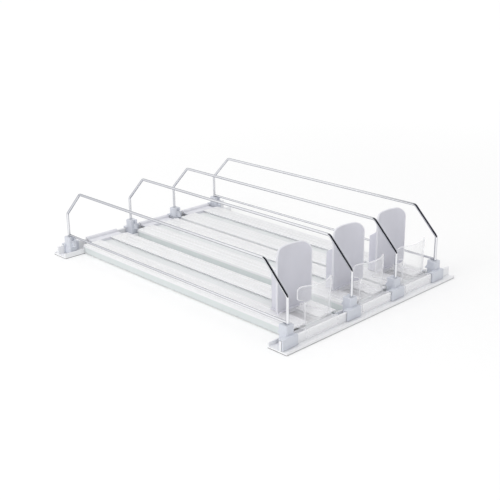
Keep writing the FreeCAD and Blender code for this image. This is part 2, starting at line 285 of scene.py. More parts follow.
def bowed_plate(name, outline, wall, edge, radius, face_y, forward, strips=28):
    """A plate with rounded edges, seen from the front as the outline, rolled to an arc in plan.

    face_y is the middle of the hollow face, and radius is that face's own radius.
    """
    steps = 5
    quarter = [math.pi / 2 * step / steps for step in range(steps + 1)]
    profile = [(edge - edge * math.sin(a), edge - edge * math.cos(a)) for a in quarter]
    profile += [(inward, wall - depth) for inward, depth in reversed(profile)]
    shape = stacked([[(p.x, depth, p.y) for p in inset(outline, inward)]
                     for inward, depth in profile])
    # The rounded edge faces take the second finish, a painted rim highlight
    for face in shape.faces:
        face.material_index = int(len(face.verts) == 4)
    widest = max(p.x for p in outline)
    for n in range(1, strips):
        cut_x = -widest + 2 * widest * n / strips
        everything = shape.verts[:] + shape.edges[:] + shape.faces[:]
        bmesh.ops.bisect_plane(shape, geom=everything, dist=1e-4,
                               plane_co=(cut_x, 0, 0), plane_no=(1, 0, 0))
    sense = -1 if forward else 1
    centre_y = face_y - sense * radius
    for vert in shape.verts:
        angle = math.asin(vert.co.x / (radius + wall / 2))
        reach = radius + vert.co.y
        vert.co.x = reach * math.sin(angle)
        vert.co.y = centre_y + sense * reach * math.cos(angle)
    return new_object(name, shape)


def baked(piece):
    """Turns a piece's modifiers into plain mesh."""
    graph = bpy.context.evaluated_depsgraph_get()
    mesh = bpy.data.meshes.new_from_object(piece.evaluated_get(graph))
    piece.modifiers.clear()
    old, piece.data = piece.data, mesh
    mesh.name = piece.name
    bpy.data.meshes.remove(old)
    return piece


def bevelled(piece, edge, segments=3, angle=30.0):
    """Rounds the edges that are sharper than an angle."""
    bevel = piece.modifiers.new("Rounded edges", "BEVEL")
    bevel.width = edge
    bevel.segments = segments
    bevel.limit_method = "ANGLE"
    bevel.angle_limit = math.radians(angle)
    return baked(piece)


def combined(piece, operation, *others):
    """Adds the other solids to a piece, or takes them out of it, and removes them."""
    for other in others:
        join = piece.modifiers.new(operation, "BOOLEAN")
        join.operation = operation
        join.solver = "EXACT"
        join.object = other
    baked(piece)
    for other in others:
        bpy.data.objects.remove(other)
    return piece


def smoothed(piece, sharp=32.0):
    """Smooth shading with sharp edges kept, weighted to the large faces."""
    piece.data.shade_smooth()
    piece.data.set_sharp_from_angle(angle=math.radians(sharp))
    weigh = piece.modifiers.new("Weighted normals", "WEIGHTED_NORMAL")
    weigh.keep_sharp = True
    return baked(piece)


def softened_copy(node, name, edge, segments=2):
    """A merged copy of a solid with its edges rounded."""
    shape = bmesh.new()
    shape.from_mesh(NODES[node].data)
    bmesh.ops.scale(shape, vec=(1 / MM,) * 3, verts=shape.verts)
    bmesh.ops.remove_doubles(shape, verts=shape.verts, dist=1e-3)
    bmesh.ops.dissolve_limit(shape, angle_limit=math.radians(1.0),
                             verts=shape.verts, edges=shape.edges)
    return smoothed(bevelled(new_object(name, shape), edge, segments))


def copy_at(piece, name, x):
    """Another piece of the same shape, moved along the rails by x millimetres."""
    mesh = piece.data.copy()
    mesh.name = name
    mesh.transform(Matrix.Translation((x * MM, 0, 0)))
    made = bpy.data.objects.new(name, mesh)
    bpy.context.scene.collection.objects.link(made)
    return made


def painted(piece, *materials):
    """Gives a piece its finishes, in the order of its faces' material numbers."""
    numbers = [face.material_index for face in piece.data.polygons]
    piece.data.materials.clear()
    for material in materials:
        piece.data.materials.append(material)
    if len(materials) > 1:
        piece.data.polygons.foreach_set("material_index", numbers)
    return piece


def dressed(piece, material, slot, body, *nodes):
    """Gives a piece its finish, and lets it ride on a body in place of solids."""
    painted(piece, *(material if isinstance(material, tuple) else (material,)))
    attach(piece, body)
    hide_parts(*nodes)
    return piece


# Node helpers

def add_node(tree, kind, inputs=(), **settings):
    """Adds a node, sets its options, and sets or links its inputs."""
    made = tree.nodes.new(kind)
    for name, value in settings.items():
        setattr(made, name, value)
    for name, value in dict(inputs).items():
        socket = made.inputs[name]
        if isinstance(value, bpy.types.NodeSocket):
            tree.links.new(value, socket)
        else:
            socket.default_value = value
    return made


def new_tree(name, sockets):
    """A geometry tree with named inputs. Gives the tree and its input node."""
    tree = bpy.data.node_groups.new(name, "GeometryNodeTree")
    tree.interface.new_socket("Geometry", in_out="OUTPUT", socket_type="NodeSocketGeometry")
    for label, kind in sockets:
        tree.interface.new_socket(label, in_out="INPUT", socket_type=kind)
    return tree, tree.nodes.new("NodeGroupInput")


def end_tree(tree, geometry, given):
    """Ends a tree in Set Shade Smooth, Set Material and Realize Instances."""
    smooth = add_node(tree, "GeometryNodeSetShadeSmooth", {"Geometry": geometry})
    finish = add_node(tree, "GeometryNodeSetMaterial",
                      {"Geometry": smooth.outputs[0], "Material": given.outputs["Material"]})
    real = add_node(tree, "GeometryNodeRealizeInstances", {"Geometry": finish.outputs[0]})
    end = tree.nodes.new("NodeGroupOutput")
    tree.links.new(real.outputs[0], end.inputs[0])


def grown(source, tree, name, values):
    """Runs a geometry tree on a source object and keeps the result as a plain mesh object."""
    grow = source.modifiers.new(tree.name, "NODES")
    grow.node_group = tree
    for item in tree.interface.items_tree:
        if item.in_out == "INPUT" and item.name in values:
            grow[item.identifier] = values[item.name]
    graph = bpy.context.evaluated_depsgraph_get()
    mesh = bpy.data.meshes.new_from_object(source.evaluated_get(graph))
    source.modifiers.remove(grow)
    bpy.data.objects.remove(source)
    mesh.name = name
    made = bpy.data.objects.new(name, mesh)
    bpy.context.scene.collection.objects.link(made)
    return made


def path_object(name, points):
    """An open curve with straight runs through points in millimetres."""
    curve = bpy.data.curves.new(name, "CURVE")
    curve.dimensions = "3D"
    spline = curve.splines.new("POLY")
    spline.points.add(len(points) - 1)
    for target, point in zip(spline.points, points):
        target.co = (*(Vector(point) * MM), 1.0)
    made = bpy.data.objects.new(name, curve)
    bpy.context.scene.collection.objects.link(made)
    return made


def round_section(tree, given):
    """A circle of the wire's diameter, to be drawn along a path."""
    half = add_node(tree, "ShaderNodeMath", {0: given.outputs["Wire Diameter"], 1: 0.5},
                    operation="MULTIPLY")
    circle = add_node(tree, "GeometryNodeCurvePrimitiveCircle",
                      {"Resolution": given.outputs["Sides"], "Radius": half.outputs[0]})
    return circle.outputs[0]


def sweep_tree():
    """Bent wire: rounds the path's corners and draws a round section along it."""
    tree, given = new_tree("Bent wire", [
        ("Geometry", "NodeSocketGeometry"), ("Bend Radius", "NodeSocketFloat"),
        ("Wire Diameter", "NodeSocketFloat"), ("Sides", "NodeSocketInt"),
        ("Material", "NodeSocketMaterial")])
    bend = add_node(tree, "GeometryNodeFilletCurve",
                    {"Curve": given.outputs["Geometry"], "Radius": given.outputs["Bend Radius"],
                     "Limit Radius": True, "Count": 10}, mode="POLY")
    sweep = add_node(tree, "GeometryNodeCurveToMesh",
                     {"Curve": bend.outputs[0], "Profile Curve": round_section(tree, given),
                      "Fill Caps": True})
    end_tree(tree, sweep.outputs[0], given)
    return tree


def welded_wire_tree():
    """Straight wire with a weld bead at each of its ends."""
    tree, given = new_tree("Welded wire", [
        ("Geometry", "NodeSocketGeometry"), ("Wire Diameter", "NodeSocketFloat"),
        ("Weld Radius", "NodeSocketFloat"), ("Sides", "NodeSocketInt"),
        ("Material", "NodeSocketMaterial")])
    sweep = add_node(tree, "GeometryNodeCurveToMesh",
                     {"Curve": given.outputs["Geometry"],
                      "Profile Curve": round_section(tree, given), "Fill Caps": True})
    ends = add_node(tree, "GeometryNodeCurveEndpointSelection")
    points = add_node(tree, "GeometryNodeCurveToPoints", {"Curve": given.outputs["Geometry"]},
                      mode="EVALUATED")
    bead = add_node(tree, "GeometryNodeMeshIcoSphere",
                    {"Radius": given.outputs["Weld Radius"], "Subdivisions": 3})
    beads = add_node(tree, "GeometryNodeInstanceOnPoints",
                     {"Points": points.outputs["Points"], "Instance": bead.outputs["Mesh"],
                      "Selection": ends.outputs[0], "Scale": (0.92, 1.25, 0.92)})
    both = add_node(tree, "GeometryNodeJoinGeometry")
    tree.links.new(sweep.outputs[0], both.inputs[0])
    tree.links.new(beads.outputs[0], both.inputs[0])
    end_tree(tree, both.outputs[0], given)
    return tree


def coil_tree():
    """Coiled strip: a flat section drawn along a spiral that stands upright."""
    tree, given = new_tree("Coiled strip", [
        ("Geometry", "NodeSocketGeometry"), ("Turns", "NodeSocketFloat"),
        ("Eye Radius", "NodeSocketFloat"), ("Coil Radius", "NodeSocketFloat"),
        ("Strip Width", "NodeSocketFloat"), ("Strip Thickness", "NodeSocketFloat"),
        ("Centre", "NodeSocketVector"), ("Material", "NodeSocketMaterial")])
    spiral = add_node(tree, "GeometryNodeCurveSpiral",
                      {"Resolution": 40, "Rotations": given.outputs["Turns"], "Height": 0.0,
                       "Start Radius": given.outputs["Eye Radius"],
                       "End Radius": given.outputs["Coil Radius"]})
    up = add_node(tree, "GeometryNodeSetCurveNormal", {"Curve": spiral.outputs[0]}, mode="Z_UP")
    section = add_node(tree, "GeometryNodeCurvePrimitiveQuadrilateral",
                       {"Width": given.outputs["Strip Thickness"],
                        "Height": given.outputs["Strip Width"]})
    strip = add_node(tree, "GeometryNodeCurveToMesh",
                     {"Curve": up.outputs[0], "Profile Curve": section.outputs[0],
                      "Fill Caps": True})
    stand = add_node(tree, "GeometryNodeTransform",
                     {"Geometry": strip.outputs[0], "Rotation": (0.0, math.pi / 2, 0.0),
                      "Translation": given.outputs["Centre"]})
    end_tree(tree, stand.outputs[0], given)
    return tree


# Finishes

def object_pattern(tree, stretch):
    """Object coordinates, stretched to the scale of a pattern."""
    place = add_node(tree, "ShaderNodeTexCoord")
    return add_node(tree, "ShaderNodeMapping",
                    {"Vector": place.outputs["Object"], "Scale": stretch}).outputs[0]


def noise(tree, stretch, detail=4.0, rough=0.55):
    """Fractal noise whose grain size follows from the stretch."""
    return add_node(tree, "ShaderNodeTexNoise",
                    {"Vector": object_pattern(tree, stretch), "Scale": 1.0, "Detail": detail,
                     "Roughness": rough}).outputs["Fac"]


def ranged(tree, value, low, high):
    """A noise value brought into a range."""
    return add_node(tree, "ShaderNodeMapRange",
                    {"Value": value, "From Min": 0.3, "From Max": 0.7,
                     "To Min": low, "To Max": high}).outputs[0]


def rays(tree, *kinds):
    """1 for the kinds of ray that are named, such as Camera or Glossy, and 0 for others."""
    path = tree.nodes.new("ShaderNodeLightPath")
    first, *rest = (path.outputs[f"Is {kind} Ray"] for kind in kinds)
    for other in rest:
        first = add_node(tree, "ShaderNodeMath", {0: first, 1: other},
                         operation="MAXIMUM").outputs[0]
    return first


def finish_material(name, shader_values, colour, shade, cloud, rough, grain, bump_depth,
                    bump=0.35):
    """A material from one shader, with drifting colour, uneven roughness and a fine bump.

    shade is how much darker the colour gets in the clouds, cloud and grain are the
    stretches of the two patterns, and rough is the range of the roughness.
    """
    material = bpy.data.materials.new(name)
    material.use_nodes = True
    tree = material.node_tree
    tree.nodes.clear()
    clouds = noise(tree, cloud, 3.0)
    fine = noise(tree, grain, 5.0, 0.6)
    dark = [c * shade for c in colour]
    drift = add_node(tree, "ShaderNodeMix",
                     {"Factor": ranged(tree, clouds, 0.0, 1.0)}, data_type="RGBA")
    drift.inputs[6].default_value = (*colour, 1.0)
    drift.inputs[7].default_value = (*dark, 1.0)
    relief = add_node(tree, "ShaderNodeBump",
                      {"Height": fine, "Strength": bump, "Distance": bump_depth})
    shader = add_node(tree, "ShaderNodeBsdfPrincipled",
                      {"Base Color": drift.outputs[2], "Roughness": ranged(tree, fine, *rough),
                       "Normal": relief.outputs[0], **shader_values})
    end = tree.nodes.new("ShaderNodeOutputMaterial")
    tree.links.new(shader.outputs[0], end.inputs[0])
    return material


def below_height(low, high):
    """A factor that is 1 below a height in metres and fades to 0 at another."""
    def factor(tree):
        place = add_node(tree, "ShaderNodeTexCoord")
        height = add_node(tree, "ShaderNodeSeparateXYZ", {0: place.outputs["Object"]})
        return add_node(tree, "ShaderNodeMapRange",
                        {"Value": height.outputs["Z"], "From Min": low, "From Max": high,
                         "To Min": 1.0, "To Max": 0.0}).outputs[0]
    return factor


def painted_rib_shade(period):
    """A factor of soft lines along the lanes: painted shade of fine ribs on the lane floors."""
    def factor(tree):
        place = add_node(tree, "ShaderNodeTexCoord")
        across = add_node(tree, "ShaderNodeSeparateXYZ", {0: place.outputs["Object"]})
        turns = add_node(tree, "ShaderNodeMath", {0: across.outputs["X"], 1: math.tau / period},
                         operation="MULTIPLY")
        wave = add_node(tree, "ShaderNodeMath", {0: turns.outputs[0]}, operation="SINE")
        return add_node(tree, "ShaderNodeMapRange",
                        {"Value": wave.outputs[0], "From Min": 0.1, "From Max": 1.0}).outputs[0]
    return factor


def painted_edge_reflection(low, high):
    """A factor that grows to 1 where a round wire turns away from the eye, for a painted dark
    reflection along the wire's edges.
    """
    def factor(tree):
        slant = add_node(tree, "ShaderNodeLayerWeight", {"Blend": 0.5})
        return add_node(tree, "ShaderNodeMapRange",
                        {"Value": slant.outputs["Facing"], "From Min": low,
                         "From Max": high}).outputs[0]
    return factor


def tinted(material, factor, tint):
    """Multiplies a material's colour by a tint where the factor is 1."""
    tree = material.node_tree
    shader = next(n for n in tree.nodes if n.type == "BSDF_PRINCIPLED")
    plain = shader.inputs["Base Color"].links[0].from_socket
    shade = add_node(tree, "ShaderNodeMix", {"Factor": factor(tree)}, data_type="RGBA",
                     blend_type="MULTIPLY")
    tree.links.new(plain, shade.inputs[6])
    shade.inputs[7].default_value = (*tint, 1.0)
    tree.links.new(shade.outputs[2], shader.inputs["Base Color"])


def clear_material(name, colour):
    """Clear plastic: a faint white veil, a painted reflection, that thickens where its surface is
    seen at a slant.
    """
    material = finish_material(name, {"IOR": 1.49, "Specular IOR Level": 1.0}, colour, 0.97,
                               (50, 50, 50), (0.04, 0.10), (700, 700, 700), 0.00001, 0.1)
    tree = material.node_tree
    shader = next(n for n in tree.nodes if n.type == "BSDF_PRINCIPLED")
    # Painted reflection: the white veil grows more opaque where the surface is seen at a slant
    slant = add_node(tree, "ShaderNodeLayerWeight", {"Blend": 0.30})
    veil = add_node(tree, "ShaderNodeMapRange",
                    {"Value": slant.outputs["Facing"], "To Min": 0.07, "To Max": 0.52})
    kept = add_node(tree, "ShaderNodeMapRange",
                    {"Value": rays(tree, "Shadow", "Diffuse"), "To Min": 1.0, "To Max": 0.15})
    alpha = add_node(tree, "ShaderNodeMath", {0: veil.outputs[0], 1: kept.outputs[0]},
                     operation="MULTIPLY")
    tree.links.new(alpha.outputs[0], shader.inputs["Alpha"])


def finishes():
    """The organizer's materials by name, made once."""
    made = {m.name: m for m in bpy.data.materials}
    if "track_extruded" in made:
        return made
    colours = bpy.context.scene.organizer_colours
    plastic = {"IOR": 1.5, "Specular IOR Level": 0.5}
    rail = finish_material("rail_extruded", plastic, tuple(colours.rail), 0.95, (6, 60, 60),
                           (0.36, 0.44), (0.9, 2000, 2000), 0.00002)
    # Painted shadow: a dark line along the rails' lowest 0.4 to 0.7 mm, where they meet the shelf
    tinted(rail, below_height(0.0004, 0.0007), (0.12, 0.12, 0.11))
    milky = {"IOR": 1.5, "Subsurface Weight": 0.5, "Subsurface Radius": (1.0, 1.0, 1.0),
             "Subsurface Scale": 0.004}
    track = finish_material("track_extruded", milky, tuple(colours.track), 0.965,
                            (60, 6, 60), (0.34, 0.38), (420, 0.4, 420), 0.00001, 0.12)
    # Painted shade: a darker, greenish tone on the skirts and other faces below 7.4 to 8.2 mm
    tinted(track, below_height(0.0074, 0.0082), (0.815, 0.87, 0.85))
    # Painted shade of fine ribs: soft darker lines 3.2 mm apart along the lanes
    tinted(track, painted_rib_shade(0.0032), (0.955, 0.955, 0.95))
    for name, colour in (("clip_moulded", colours.clip), ("cap_moulded", colours.cap)):
        finish_material(name, plastic, tuple(colour), 0.94, (90, 90, 90),
                        (0.34, 0.46), (1500, 1500, 1500), 0.00004)
    finish_material("pusher_moulded", plastic, tuple(colours.pusher), 0.95, (45, 45, 30),
                    (0.40, 0.52), (1300, 1300, 1300), 0.00004)
    # Painted highlight on the paddles' rounded edges
    finish_material("pusher_rim", plastic, tuple(colours.paddle_rim_highlight), 0.96, (45, 45, 30),
                    (0.30, 0.40), (1300, 1300, 1300), 0.00002)
    clear_material("stop_clear", tuple(colours.clear))
    # Painted highlight on the clear stops' rounded edges and plate ends
    finish_material("stop_rim", {"IOR": 1.49, "Alpha": 0.55}, tuple(colours.rim), 0.97,
                    (90, 90, 90), (0.12, 0.20), (900, 900, 900), 0.00001, 0.2)
    chrome = finish_material("hoop_chrome", {"Metallic": 1.0}, tuple(colours.chrome), 0.96,
                             (120, 120, 120), (0.05, 0.10), (900, 900, 900), 0.00001, 0.2)
    # Painted reflection: the chrome darkens toward the wires' edges as if it mirrored a darker room
    tinted(chrome, painted_edge_reflection(0.28, 0.58), (0.40, 0.41, 0.45))
    finish_material("spring_strip", {"Metallic": 1.0}, tuple(colours.steel), 0.85,
                    (140, 60, 140), (0.24, 0.36), (3000, 80, 3000), 0.00002)
    return {m.name: m for m in bpy.data.materials}


# Operators

class AddRails(bpy.types.Operator):
    """Add the two extruded rails that stand on the shelf"""
    bl_idname = "organizer.rails"
    bl_label = "Rails"

    def execute(self, context):
        edge = context.scene.organizer_mouldings.extrusion_edge
        for node in ("front_rail", "rear_rail"):
            rail = softened_copy(node, f"{node}_extrusion", edge)
            dressed(rail, finishes()["rail_extruded"], "rail", "rails", node)
        return {"FINISHED"}


class AddTracks(bpy.types.Operator):
    """Add the extruded lane floors with their channels"""
    bl_idname = "organizer.tracks"
    bl_label = "Tracks"

    def execute(self, context):
        edge = context.scene.organizer_mouldings.extrusion_edge
        for n in LANES:
            track = softened_copy(f"track_{n}", f"lane_floor_{n}", edge)
            dressed(track, finishes()["track_extruded"], "track_plastic", f"lane_{n}",
                    f"track_{n}")
        return {"FINISHED"}


class AddRearCaps(bpy.types.Operator):
    """Add the hooks that hold the rear ends of the lanes"""
    bl_idname = "organizer.rear_caps"
    bl_label = "Rear caps"

    def execute(self, context):
        edge = context.scene.organizer_mouldings.clip_edge
        for n in LANES:
            cap = softened_copy(f"rear_cap_{n}", f"lane_end_hook_{n}", edge)
            dressed(cap, finishes()["cap_moulded"], "clip_plastic", f"lane_{n}",
                    f"rear_cap_{n}")
        return {"FINISHED"}


class AddClips(bpy.types.Operator):
    """Add the clips that hold the hoops on the rails"""
    bl_idname = "organizer.clips"
    bl_label = "Divider clips"

    def execute(self, context):
        edge = context.scene.organizer_mouldings.clip_edge
        for n in DIVIDERS:
            for end, side in (("front", 1), ("rear", -1)):
                clip = softened_copy(f"{end}_clip_{n}", f"{end}_hoop_clip_{n}", edge)
                rib = self.gusset(middle_x(f"divider_wire_{n}"), side, edge)
                smoothed(combined(clip, "UNION", rib))
                dressed(clip, finishes()["clip_moulded"], "clip_plastic", f"divider_{n}",
                        f"{end}_clip_{n}")
        return {"FINISHED"}

    def gusset(self, x, side, edge):
        """The sloped rib on a clip's inner side, which passes above the ends of the tracks."""
        width, nose, rise = 2.8, 0.9, 7.0
        root, block_face, tip = CLIP_INSIDE - 2.5, CLIP_INSIDE - 1.3, CLIP_INSIDE + 3.2
        low = RIB_TOP + 0.4
        outline = [(root, low), (tip, low), (tip, low + nose), (block_face, low + rise),
                   (root, low + rise)]
        rib = drawn_out("gusset", [(side * y, z) for y, z in outline], "X",
                        x - width / 2, x + width / 2)
        return bevelled(rib, edge, 2)


class AddHoops(bpy.types.Operator):
    """Add the bent and chromed divider hoops"""
    bl_idname = "organizer.hoops"
    bl_label = "Divider hoops"

    def execute(self, context):
        sizes = context.scene.organizer_hoops
        chrome = finishes()["hoop_chrome"]
        bent, welded = sweep_tree(), welded_wire_tree()
        half = -FRONT_POST
        top = WIRE_HIGH.z - HOOP_RADIUS
        shoulder, reach, foot, lower = 49.8, 29.0, WIRE_LOW.z, 24.0
        for n in DIVIDERS:
            x = middle_x(f"divider_wire_{n}")
            path = path_object("hoop_path", [
                (x, -half, foot), (x, -half, shoulder), (x, -half + reach, top),
                (x, half - reach, top), (x, half, shoulder), (x, half, foot)])
            hoop = grown(path, bent, f"hoop_{n}", {
                "Bend Radius": sizes.bend, "Wire Diameter": sizes.wire,
                "Sides": sizes.sides, "Material": chrome})
            hoop.data.set_sharp_from_angle(angle=math.radians(40))
            dressed(hoop, chrome, "chrome_wire", f"divider_{n}", f"divider_wire_{n}")
            if n in OUTER_DIVIDERS:
                path = path_object("lower_path", [(x, -half, lower), (x, half, lower)])
                wire = grown(path, welded, f"hoop_lower_wire_{n}", {
                    "Wire Diameter": sizes.lower_wire, "Weld Radius": sizes.weld,
                    "Sides": sizes.sides, "Material": chrome})
                dressed(wire, chrome, "chrome_wire", f"divider_{n}", f"divider_wire_{n}")
        return {"FINISHED"}


class AddStops(bpy.types.Operator):
    """Add the clear front stops"""
    bl_idname = "organizer.stops"
    bl_label = "Front stops"

    def execute(self, context):
        sizes = context.scene.organizer_mouldings
        lane = middle_x("track_2")
        stop = self.wall(STOP_HIGH.x - lane, sizes.stop_edge / MM)
        parts = self.floor_plate(STOP_LOW.x - lane, sizes.plate_edge), self.tenon(), self.tab()
        both = finishes()["stop_clear"], finishes()["stop_rim"]
        for piece in (stop, *parts):
            painted(piece, *both)
        combined(stop, "UNION", *parts)
        smoothed(stop)
        for n in LANES:
            shown = copy_at(stop, f"clear_stop_{n}", middle_x(f"track_{n}"))
            dressed(shown, both, "clear_plastic", f"lane_{n}", f"front_stop_{n}")
        bpy.data.objects.remove(stop)
        return {"FINISHED"}

    def wall(self, half, edge):
        """The bowed wall, whose wings stand out from a narrower stem."""
        wall, bow, setback, corner = 2.0, 9.0, 0.4, 5.0
        half_stem, stem_low, wing_low = 18.0, RIB_TOP + 0.4, 36.5
        outline = rounded(mirrored([
            (half_stem, stem_low, 0), (half_stem, wing_low, wall),
            (half, wing_low, corner / 2), (half, STOP_HIGH.z, corner)]))
        return bowed_plate("stop", outline, wall, edge, bow_radius(half, bow),
                           FRONT_POST + setback, True)

    def floor_plate(self, left, edge):
        """The plate on the track, with the hook over the bead of the front rail's web."""
        width, inside, outside = 44.0, 1.6, 3.0
        plate_top, jaw_low = RIB_TOP + 1.5, 10.6
        hook_top, hook_under = 13.6, 12.2
        outline = rounded([
            (WEB + inside, jaw_low, 0), (WEB + outside, jaw_low, 0.3),
            (WEB + outside, RIB_TOP, 0.3), (STOP_HIGH.y, RIB_TOP, 0.3),
            (STOP_HIGH.y, plate_top, 0.7), (WEB + outside + 0.5, plate_top, 0.5),
            (WEB + outside - 1.0, hook_top, 1.0), (WEB - outside, hook_top, 2.9),
            (WEB - outside, STOP_LOW.z, 0.4), (WEB - inside, STOP_LOW.z, 0.4),
            (WEB - inside, hook_under, 0.8), (WEB + inside, hook_under, 0.8)])
        plate = bevelled(drawn_out("plate", outline, "X", left, left + width), edge, 2)
        mark_ends(plate)
        return plate

    def tenon(self):
        """The bar that sits in the mouth of the track's channel."""
        half, seat, low, high = 7.4, 0.1, 8.6, 11.75
        front = TRACK_LOW.y + seat
        return block("tenon", (-half, front, low), (half, front + TENON_LENGTH, high))

    def tab(self):
        """The tab below the tenon that the steel strip is hooked on."""
        half, depth, high = 1.5, 2.5, 9.0
        return block("tab", (-half, TAB - depth / 2, COIL_LOW.z), (half, TAB + depth / 2, high))


class AddPushers(bpy.types.Operator):
    """Add the bowed paddles with their spring housings and sliders"""
    bl_idname = "organizer.pushers"
    bl_label = "Pushers"

    def execute(self, context):
        sizes = context.scene.organizer_mouldings
        radius = bow_radius(PADDLE_HALF, PADDLE_BOW)
        pusher = self.paddle(radius, sizes.paddle_edge / MM)
        parts = self.housing(radius, sizes.housing_edge), self.slider(sizes.plate_edge)
        both = finishes()["pusher_moulded"], finishes()["pusher_rim"]
        for piece in (pusher, *parts):
            painted(piece, *both)
        combined(pusher, "UNION", *parts)
        smoothed(pusher)
        for n in LANES:
            shown = copy_at(pusher, f"paddle_and_housing_{n}", middle_x(f"pusher_{n}"))
            dressed(shown, both, "pusher_plastic", f"pusher_{n}", f"pusher_{n}")
        bpy.data.objects.remove(pusher)
        return {"FINISHED"}

    def paddle(self, radius, edge):
        """The bowed plate, whose wings stand out from a narrower stem."""
        wing_low, wing_corner, corner = 13.5, 5.0, 11.0
        outline = rounded(mirrored([
            (PADDLE_STEM, PLATE_LOW, 0), (PADDLE_STEM, wing_low, 0),
            (PADDLE_HALF, wing_low, wing_corner), (PADDLE_HALF, PUSHER_HIGH.z, corner)]), 8)
        return bowed_plate("pusher", outline, PADDLE_WALL, edge, radius, PADDLE_FACE, False)

    def housing(self, radius, edge):
        """The sloped shell behind the paddle, open at the back and cut to the paddle's arc."""
        half_outside, half_inside, roof_wall = 12.0, 10.4, 1.6
        back, front = PUSHER_HIGH.y, PADDLE_FACE - PADDLE_BOW
        beyond = back + 2
        low_back, high_face = 49.5, 58.5
        slope = (high_face - low_back) / (back - PADDLE_FACE)
        high_front = high_face + slope * PADDLE_BOW
        shell = drawn_out("housing", rounded([
            (front, PLATE_LOW, 0), (back, PLATE_LOW, 0), (back, low_back, PADDLE_WALL),
            (front, high_front, 0)]), "X", -half_outside, half_outside)
        bevelled(shell, edge, 4)
        roof = roof_wall * math.hypot(1, slope)
        inside = drawn_out("inside", [
            (front, PLATE_TOP), (beyond, PLATE_TOP),
            (beyond, low_back - roof - slope * (beyond - back)), (front, high_front - roof)],
            "X", -half_inside, half_inside)
        opening = block("opening", (-half_inside, PADDLE_FACE, PLATE_LOW - 1),
                        (half_inside, beyond, PLATE_TOP + 1))
        reach, sides, above = radius + PADDLE_WALL / 2, 128, 120
        turns = [math.tau * n / sides for n in range(sides)]
        ahead = drawn_out("ahead", [
            (reach * math.sin(a), PADDLE_FACE - radius + reach * math.cos(a))
            for a in turns], "Z", 0, above)
        return combined(shell, "DIFFERENCE", inside, opening, ahead)

    def slider(self, edge):
        """The plate on the track with a neck and foot in the channel and the coil's window."""
        start, back = PUSHER_LOW.y + 6.0, PUSHER_HIGH.y
        half_neck, neck_top = 7.2, PLATE_LOW + 0.8
        half_foot, foot_top = 9.2, 9.3
        half_window, window_start = 5.6, PADDLE_FACE + PADDLE_WALL + 0.3
        slider = block("slider", (-PADDLE_STEM, start, PLATE_LOW), (PADDLE_STEM, back, PLATE_TOP))
        bevelled(slider, edge, 2)
        neck = block("neck", (-half_neck, start, PUSHER_LOW.z), (half_neck, back, neck_top))
        foot = block("foot", (-half_foot, start, PUSHER_LOW.z), (half_foot, back, foot_top))
        window = block("window", (-half_window, window_start, 0),
                       (half_window, back + 1, PLATE_TOP + 1))
        combined(slider, "UNION", neck, foot)
        return combined(slider, "DIFFERENCE", window)


class AddSprings(bpy.types.Operator):
    """Add the coiled steel strips that pull the pushers forward"""
    bl_idname = "organizer.springs"
    bl_label = "Coil springs"

    def execute(self, context):
        sizes = context.scene.organizer_springs
        steel = finishes()["spring_strip"]
        tree = coil_tree()
        radius = (COIL_HIGH.z - COIL_LOW.z) / 2
        centre_y, centre_z = COIL_HIGH.y - radius, COIL_LOW.z + radius
        for n in LANES:
            x = middle_x(f"coil_spring_{n}")
            seed = path_object("coil_seed", [(x, 0, 0), (x, 1, 0)])
            coil = grown(seed, tree, f"spring_coil_{n}", {
                "Turns": sizes.turns, "Eye Radius": sizes.eye,
                "Coil Radius": radius * MM - sizes.strip / 2,
                "Strip Width": sizes.width, "Strip Thickness": sizes.strip,
                "Centre": (x * MM, centre_y * MM, centre_z * MM), "Material": steel})
            coil.data.set_sharp_from_angle(angle=math.radians(40))
            dressed(coil, steel, "spring_steel", f"pusher_{n}", f"coil_spring_{n}")
            self.add_tail(n, x, centre_y, sizes, steel)
        return {"FINISHED"}

    def add_tail(self, n, x, end_y, sizes, steel):
        """The flat run of the strip and its slotted end round the stop's tab."""
        half, corner, steps = sizes.width / MM / 2, 2.0, 40
        low, high = COIL_LOW.z, COIL_LOW.z + sizes.strip / MM
        half_slot, slack = 1.8, 1.55
        run_start = TAB + slack
        end = drawn_out("slotted_end", rounded([
            (-half, COIL_LOW.y, corner), (half, COIL_LOW.y, corner), (half, run_start, 0),
            (-half, run_start, 0)], 5), "Z", low, high)
        slot = block("slot", (-half_slot, TAB - slack, 0), (half_slot, run_start + 1, high + 1))
        combined(end, "DIFFERENCE", slot)
        places = [run_start + (end_y - run_start) * step / steps for step in range(steps + 1)]
        tail = new_object(f"spring_tail_{n}", stacked([
            [(-half, y, low), (half, y, low), (half, y, high), (-half, y, high)]
            for y in places]))
        combined(tail, "UNION", end)
        tail.data.transform(Matrix.Translation((x * MM, 0, 0)))
        painted(tail, steel)
        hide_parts(f"coil_spring_{n}")
        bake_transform(tail)


